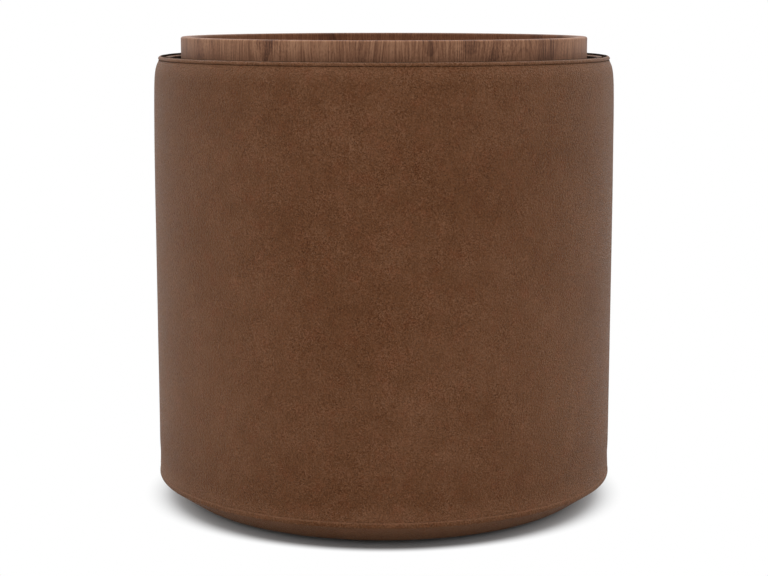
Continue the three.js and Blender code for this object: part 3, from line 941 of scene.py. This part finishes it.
class DRUMTABLE_OT_piping(bpy.types.Operator):
    """Adds the leather piping, its closing joint at the back, and the black tape inside it"""

    bl_idname = "drum_table.piping"
    bl_label = "Piping and tape"

    def execute(self, context):
        settings = context.scene.drum_leather
        inner, outer, low, _ = extents_of("top_piping")
        circle, radius = (inner + outer) / 2, (outer - inner) / 2
        tall = settings.piping_height / 2
        level = low + tall
        outline = [(circle + radius * math.cos(a), level + tall * math.sin(a))
                   for a in (2 * math.pi * k / 28 for k in range(28))]

        def move(r, z, angle):
            out_r, out_z = (r - circle) / radius, (z - level) / tall
            lap = from_seam(angle) * circle + 0.9 * (z - level)
            swell = 0.05 * MM * wave(angle, circle, z, 17 * MM, 41.0) \
                + 0.03 * MM * wave(angle, circle, z, 5 * MM, 43.0) \
                + 0.22 * MM * bell(lap - 2.2 * MM, 1.9 * MM) - 0.5 * MM * bell(lap, 0.45 * MM)
            plump = settings.piping_plump * step_at(math.sin(angle) + 0.07, 0.06)
            return r + swell * out_r, z + swell * out_z + plump * (z - level + tall) / (2 * tall)

        mesh = turned("leather_piping", outline, angles_round(seam_reach=SEAM_REACH / circle), move)
        piece(mesh, "drum", "brown_leather", "top_piping")
        line_with_tape(mesh, lambda at: at.z > level and at.xy.length < circle - 0.1 * MM)
        self.add_tape(level + tall + 0.2 * MM)
        return {"FINISHED"}

    def add_tape(self, high):
        """The tape stands up to a height in front and to its drawn height in the back half."""
        inner, outer, low, drawn = extents_of("piping_tape")
        round_off = 0.3 * (outer - inner)
        outline = divided(four_cornered(inner, outer, low, high, (0, 0, round_off, round_off),
                                        steps=3, hold=0), 1.5 * MM)

        def lean(r, z, angle):
            share = (z - low) / (high - low)
            standing = (drawn - high) * step_at(math.sin(angle) + 0.05, 0.06) \
                + 0.15 * MM * min(0.0, math.sin(angle)) ** 4
            return r, z + share * (standing + 0.06 * MM * wave(angle, inner, 0.0, 26 * MM, 47.0))

        piece(turned("edge_tape", outline, angles_round(), lean), "drum",
              "edge_tape_cloth", "piping_tape")


class DRUMTABLE_OT_top_band(bpy.types.Operator):
    """Adds the leather over the raised edge and down into the gap round the tray"""

    bl_idname = "drum_table.top_band"
    bl_label = "Leather top band"

    def execute(self, context):
        settings = context.scene.drum_leather
        inner, outer, low, high = extents_of("top_band")
        t = settings.thickness
        outline = divided(rounded([
            (inner, low, 0.3 * MM), (inner + t, low, 0.3 * MM), (inner + t, high - t, 0),
            (outer, high - t, 0), (outer, high, 0.6 * MM), (inner, high, 2.5 * MM),
        ], steps=6, hold=0), 2.5 * MM)

        def move(radius, height, angle):
            if radius > inner + 0.8 * t and height < high - 0.8 * t:
                return radius, height
            top = bell(height - high, 4 * MM)
            out = 0.08 * MM * wave(angle, radius, height, 21 * MM, 53.0)
            joint = -0.45 * MM * bell(from_seam(angle) * radius, 0.55 * MM)
            return radius - (1 - top) * (out + joint), height + top * (0.6 * out + joint)

        mesh = turned("leather_top_band", outline, angles_round(None, SEAM_REACH / outer, 20), move)
        made = piece(mesh, "drum", "brown_leather", "top_band")
        # The gap's face below the drop is given the black tape cloth, which darkens the gap
        line_with_tape(mesh, lambda at: at.z < high - settings.gap_black_drop
                       and at.xy.length < inner + 0.6 * t)
        return {"FINISHED"}


class DRUMTABLE_OT_foam(bpy.types.Operator):
    """Adds the foam layer under the leather side"""

    bl_idname = "drum_table.foam"
    bl_label = "Foam"

    def execute(self, context):
        settings = context.scene.drum_leather
        inner, _, low, high = extents_of("foam_wrap")
        inset = settings.thickness + 0.35 * MM
        levels = [low + (high - low) * k / 40 for k in range(41)] + [high - 4 * MM, high - 8 * MM]
        outline = [(side_radius(h, settings) - inset, h) for h in sorted(levels)] \
            + [(inner, high), (inner, low)]

        def move(radius, height, angle):
            if radius < inner + 0.5 * MM:
                return radius, height
            return radius + settings.ripple * calm_at_ends(height, low, high) * (
                broad_ripple(angle, radius, height) - 0.5), height

        made = piece(turned("foam_layer", outline, angles_round(192), move), "drum",
                     "upholstery_foam", "foam_wrap")
        return {"FINISHED"}


class DRUMTABLE_OT_tray(bpy.types.Operator):
    """Adds the walnut rim with its scarf joint at the back, and the veneered panel"""

    bl_idname = "drum_table.tray"
    bl_label = "Walnut tray"

    def execute(self, context):
        wood = context.scene.drum_wood
        inner, outer, low, high = extents_of("tray_rim")
        _, groove, panel_low, panel_high = extents_of("tray_panel")
        fit, small, edge = 0.3 * MM, 0.8 * MM, 0.25 * MM
        outline = divided(rounded([
            (inner, low, small), (outer, low, small), (outer, high, wood.rim_rounding),
            (inner, high, wood.rim_rounding), (inner, panel_high + fit, 0),
            (groove + fit, panel_high + fit, 0), (groove + fit, panel_low - fit, 0),
            (inner, panel_low - fit, 0),
        ], steps=6, hold=0.6 * MM), 6 * MM)

        def move(radius, height, angle):
            slant = from_seam(angle) * outer - 0.35 * (height - low) + 0.35 * (high - low) / 2
            cut = 0.16 * MM * bell(slant, 0.22 * MM)
            share = max(0.0, (height - panel_high) / (high - panel_high))
            height += share * (wood.rim_slope * math.sin(angle) - wood.rim_drop)
            if inner < radius - small and radius < outer - small:
                return radius, height - cut * (share > 0.96)
            return radius - cut * (1 if radius > (inner + outer) / 2 else -1), height

        piece(turned("walnut_rim", outline, angles_round(None, 8 * MM / outer, 40), move), "tray",
              "walnut_upright", "tray_rim")

        outline = four_cornered(0, groove, panel_low, panel_high, (0, edge, edge, 0), steps=3,
                                hold=0.4 * MM)
        outline = divided(outline, 30 * MM, closed=False)
        piece(turned("walnut_panel", outline, angles_round(), closed=False), "tray",
              "walnut_flat", "tray_panel")
        return {"FINISHED"}


class DRUMTABLE_OT_tray_underside(bpy.types.Operator):
    """Adds the locating ring and the felt pads under the tray"""

    bl_idname = "drum_table.tray_underside"
    bl_label = "Tray underside"

    def execute(self, context):
        bevel, glued = 0.9 * MM, 0.2 * MM
        outline = four_cornered(*extents_of("tray_locator"), (bevel, bevel, glued, glued), steps=4,
                                hold=0.5 * MM)
        piece(turned("locating_ring", outline, angles_round(240)), "tray",
              "birch_plywood", "tray_locator")
        for number in PADS:
            self.add_pad(number)
        return {"FINISHED"}

    def add_pad(self, number):
        node = f"tray_pad_{number}"
        low, high = box_of(node)
        radius, middle = (high.x - low.x) / 2, middle_of(node)
        outline = four_cornered(0, radius, low.z, high.z, (0, 0.7 * MM, 0.3 * MM, 0), steps=4,
                                hold=0.3 * MM)

        def move(r, z, angle):
            fray = 0.12 * MM * noise.noise(Vector((9 * math.cos(angle), 9 * math.sin(angle), number)))
            return r + fray * (r / radius) ** 4, z

        mesh = turned(f"felt_pad_{number}", divided(outline, 0.8 * MM, closed=False),
                      angles_round(48), move, closed=False)
        mesh.transform(shift_by(middle.x, middle.y))
        piece(mesh, "tray", "pad_felt", node)


class DRUMTABLE_OT_bin(bpy.types.Operator):
    """Adds the cloth-covered bin wall and floor, and the cloth on the ledge"""

    bl_idname = "drum_table.bin"
    bl_label = "Storage bin"

    def execute(self, context):
        self.add_wall()
        self.add_floor()
        self.add_ledge_cloth()
        return {"FINISHED"}

    def add_wall(self):
        inner, outer, low, high = extents_of("lining_wall")
        roundings = (0.3 * MM, 0.3 * MM, 0.3 * MM, 1.2 * MM)
        outline = divided(four_cornered(inner, outer, low, high, roundings, steps=4, hold=0.6 * MM),
                          12 * MM)

        def seamed(radius, height, angle):
            if radius > inner + 1.5 * MM:
                return radius, height
            arc = from_seam(angle) * radius
            lap = 0.25 * MM * step_at(arc, 0.5 * MM) * bell(arc, 18 * MM)
            return radius + lap + 0.06 * MM * wave(angle, radius, height, 60 * MM, 61.0), height

        piece(turned("bin_wall", outline, angles_round(None, 30 * MM / inner, 40), seamed), "drum",
              "lining_cloth", "lining_wall")

    def add_floor(self):
        _, edge, low, high = extents_of("lining_floor")
        outline = four_cornered(0, edge, low, high, (0, 0.3 * MM, 0.6 * MM, 0), steps=4,
                                hold=0.5 * MM)
        outline = divided(outline, 20 * MM, closed=False)
        piece(turned("bin_floor", outline, angles_round(), closed=False), "drum",
              "floor_cloth", "lining_floor")

    def add_ledge_cloth(self):
        inner, outer, low, high = extents_of("ledge_lining")
        roundings = (0.2 * MM, 0.2 * MM, 0.3 * MM, 0.35 * MM)
        outline = divided(four_cornered(inner, outer, low, high, roundings, steps=3, hold=0.3 * MM),
                          5 * MM)

        def lying(radius, height, angle):
            return radius, height + 0.05 * MM * wave(angle, radius, 0.0, 30 * MM, 67.0)

        made = piece(turned("ledge_cloth", outline, angles_round(), lying), "drum",
                     "floor_cloth", "ledge_lining")


class DRUMTABLE_OT_dust_cloth(bpy.types.Operator):
    """Adds the thin cloth under the base, with holes for the glides' screws"""

    bl_idname = "drum_table.dust_cloth"
    bl_label = "Dust cloth"

    def execute(self, context):
        settings = context.scene.drum_trim
        _, edge, low, high = extents_of("dust_cover")
        hole = 2.3 * MM
        screws = [middle_of(f"glide_screw_{n}") for n in GLIDES]

        def from_screws(x, y):
            return min(math.hypot(x - s.x, y - s.y) for s in screws)

        def circle(middle, radius, count):
            return [Vector((middle.x + radius * math.cos(2 * math.pi * k / count),
                            middle.y + radius * math.sin(2 * math.pi * k / count)))
                    for k in range(count)]

        centre = Vector((0.0, 0.0))
        flat, edges = [centre], []
        for k in range(22):
            radius = 4 * MM + (edge - 4 * MM) * k / 22
            count = 160 if radius > 0.12 else 80 if radius > 0.04 else 24
            flat += [p for p in circle(centre, radius, count) if from_screws(*p) > hole * 1.35]
        for middle, radius, count in [(centre, edge, 160), *((s, hole, 24) for s in screws)]:
            start = len(flat)
            flat += circle(middle, radius, count)
            edges += [(start + k, start + (k + 1) % count) for k in range(count)]
        points, _, faces, *_ = delaunay_2d_cdt(flat, edges, [], 0, 1e-7)
        faces = [f for f in faces
                 if from_screws(*(sum((points[i] for i in f), Vector((0.0, 0.0))) / len(f))) > hole]

        def sagged(p):
            calm = min(1.0, from_screws(*p) / (40 * MM)) * (1 - (p.length / edge) ** 6)
            return settings.sag * calm * noise.noise(Vector((p.x, p.y, 0)) / (38 * MM))

        count = len(points)
        solid = [(p.x, p.y, level + sagged(p)) for level in (low, high) for p in points]
        skins = [tuple(reversed(f)) for f in faces] + [tuple(i + count for i in f) for f in faces]
        used = dict.fromkeys((a, b) for f in faces for a, b in zip(f, f[1:] + f[:1]))
        walls = [(a, b, b + count, a + count) for a, b in used if (b, a) not in used]
        made = piece(finished_mesh("dust_cloth", solid, skins + walls), "drum",
                     "dust_cloth", "dust_cover")
        return {"FINISHED"}


class DRUMTABLE_OT_glides(bpy.types.Operator):
    """Adds the nylon glides and the cross-recessed screws that hold them"""

    bl_idname = "drum_table.glides"
    bl_label = "Glides and screws"

    def execute(self, context):
        for number in GLIDES:
            node, screw = f"glide_{number}", f"glide_screw_{number}"
            low, high = box_of(node)
            radius, middle = max(high.y - low.y, high.x - low.x) / 2, middle_of(node)
            head = bottom_of(screw)
            head_radius = (box_of(screw)[1].x - box_of(screw)[0].x) / 2
            hole, shank = head_radius + 0.3 * MM, 2.05 * MM
            outline = rounded([
                (shank, head + HEAD_DEPTH, 0), (hole, head + HEAD_EDGE, 0.1 * MM), (hole, low.z, 0.5 * MM),
                (radius, low.z, 1.0 * MM), (radius, high.z, 0.4 * MM), (shank, high.z, 0),
            ], steps=5, hold=0.25 * MM)
            mesh = turned(f"glide_disc_{number}", outline, angles_round(72))
            mesh.transform(shift_by(middle.x, middle.y))
            piece(mesh, "drum", "glide_nylon", node)
            self.add_screw(number, screw, head, head_radius, middle)
        return {"FINISHED"}

    def add_screw(self, number, node, head, radius, middle):
        tip = top_of(node)
        shank, arm_length, arm_half, arm_depth = 1.75 * MM, 1.75 * MM, 0.42 * MM, 0.75 * MM
        core_radius, core_depth = 0.85 * MM, 0.85 * MM
        outline = [(0, head)] + [(radius * k / 14, head) for k in range(1, 14)] + [
            (radius, head + 0.08 * MM), (radius, head + HEAD_EDGE), (shank, head + HEAD_DEPTH),
            (shank, tip - 3.5 * MM), (0.25 * MM, tip - 0.2 * MM), (0, tip)]

        def move(r, z, angle):
            if z > head + 0.05 * MM:
                return r, z
            aside, along = sorted((abs(r * math.cos(angle)), abs(r * math.sin(angle))))
            wide = step_at(arm_half - aside, 0.1 * MM)
            long = step_at(arm_length - along, 0.16 * MM)
            core = step_at(core_radius - r, 0.16 * MM)
            arm = arm_depth * wide * long * (1 - 0.35 * along / arm_length)
            return r, z + max(arm, core_depth * core)

        mesh = turned(f"glide_screw_head_{number}", outline, angles_round(96), move, closed=False)
        mesh.transform(shift_by(middle.x, middle.y, 0.5 * number))
        piece(mesh, "drum", "screw_steel", node)


class DRUMTABLE_OT_frame_finishes(bpy.types.Operator):
    """Gives the CAD nodes that still show, all hidden in the frame, their finishes"""

    bl_idname = "drum_table.frame_finishes"
    bl_label = "Frame finishes"

    def execute(self, context):
        boards = ("base_board", "bottom_board", "top_ring", "mid_ring", "collar")
        screws = ("base_screw", "post_screw", "ledge_screw")
        finishes = {**dict.fromkeys(boards, "birch_plywood"), **dict.fromkeys(screws, "screw_steel"),
                    "outer_skin": "fibreboard", "post": "batten_wood"}
        for node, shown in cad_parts.items():
            if shown.hide_render:
                continue
            shown.data.materials.clear()
            shown.data.materials.append(kept(finishes[node.rstrip("0123456789").rstrip("_")]))
        return {"FINISHED"}


class DRUMTABLE_PT_panel(bpy.types.Panel):
    """Lists the pieces of the table and their settings"""

    bl_idname = "DRUMTABLE_PT_panel"
    bl_label = "Drum Table"
    bl_space_type = "VIEW_3D"
    bl_region_type = "UI"
    bl_category = "Drum Table"

    def draw(self, context):
        for operator in OPERATORS:
            self.layout.operator(operator.bl_idname)
        for group, held in SETTINGS.items():
            box = self.layout.box()
            box.label(text=group.__doc__.split(":")[0])
            for name in group.__annotations__:
                box.prop(getattr(context.scene, held), name)


SETTINGS = {DrumLeather: "drum_leather", DrumWood: "drum_wood", DrumTrim: "drum_trim",
            DrumStage: "drum_stage"}
OPERATORS = (DRUMTABLE_OT_stage, DRUMTABLE_OT_side, DRUMTABLE_OT_base, DRUMTABLE_OT_piping,
             DRUMTABLE_OT_top_band, DRUMTABLE_OT_foam, DRUMTABLE_OT_tray, DRUMTABLE_OT_tray_underside,
             DRUMTABLE_OT_bin, DRUMTABLE_OT_dust_cloth, DRUMTABLE_OT_glides,
             DRUMTABLE_OT_frame_finishes)


def register():
    for kind in (*SETTINGS, *OPERATORS, DRUMTABLE_PT_panel):
        bpy.utils.register_class(kind)
    for group, name in SETTINGS.items():
        setattr(bpy.types.Scene, name, PointerProperty(type=group))


def unregister():
    for name in SETTINGS.values():
        delattr(bpy.types.Scene, name)
    for kind in (DRUMTABLE_PT_panel, *reversed(OPERATORS), *SETTINGS):
        bpy.utils.unregister_class(kind)


def plain(bounds):
    return [[float(c) for c in corner] for corner in bounds]


def main():
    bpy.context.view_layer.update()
    register()
    bpy.ops.drum_table.stage()
    bpy.ops.drum_table.side()
    bpy.ops.drum_table.base()
    bpy.ops.drum_table.piping()
    bpy.ops.drum_table.top_band()
    bpy.ops.drum_table.foam()
    bpy.ops.drum_table.tray()
    bpy.ops.drum_table.tray_underside()
    bpy.ops.drum_table.bin()
    bpy.ops.drum_table.dust_cloth()
    bpy.ops.drum_table.glides()
    bpy.ops.drum_table.frame_finishes()


if __name__ == "__main__":
    main()
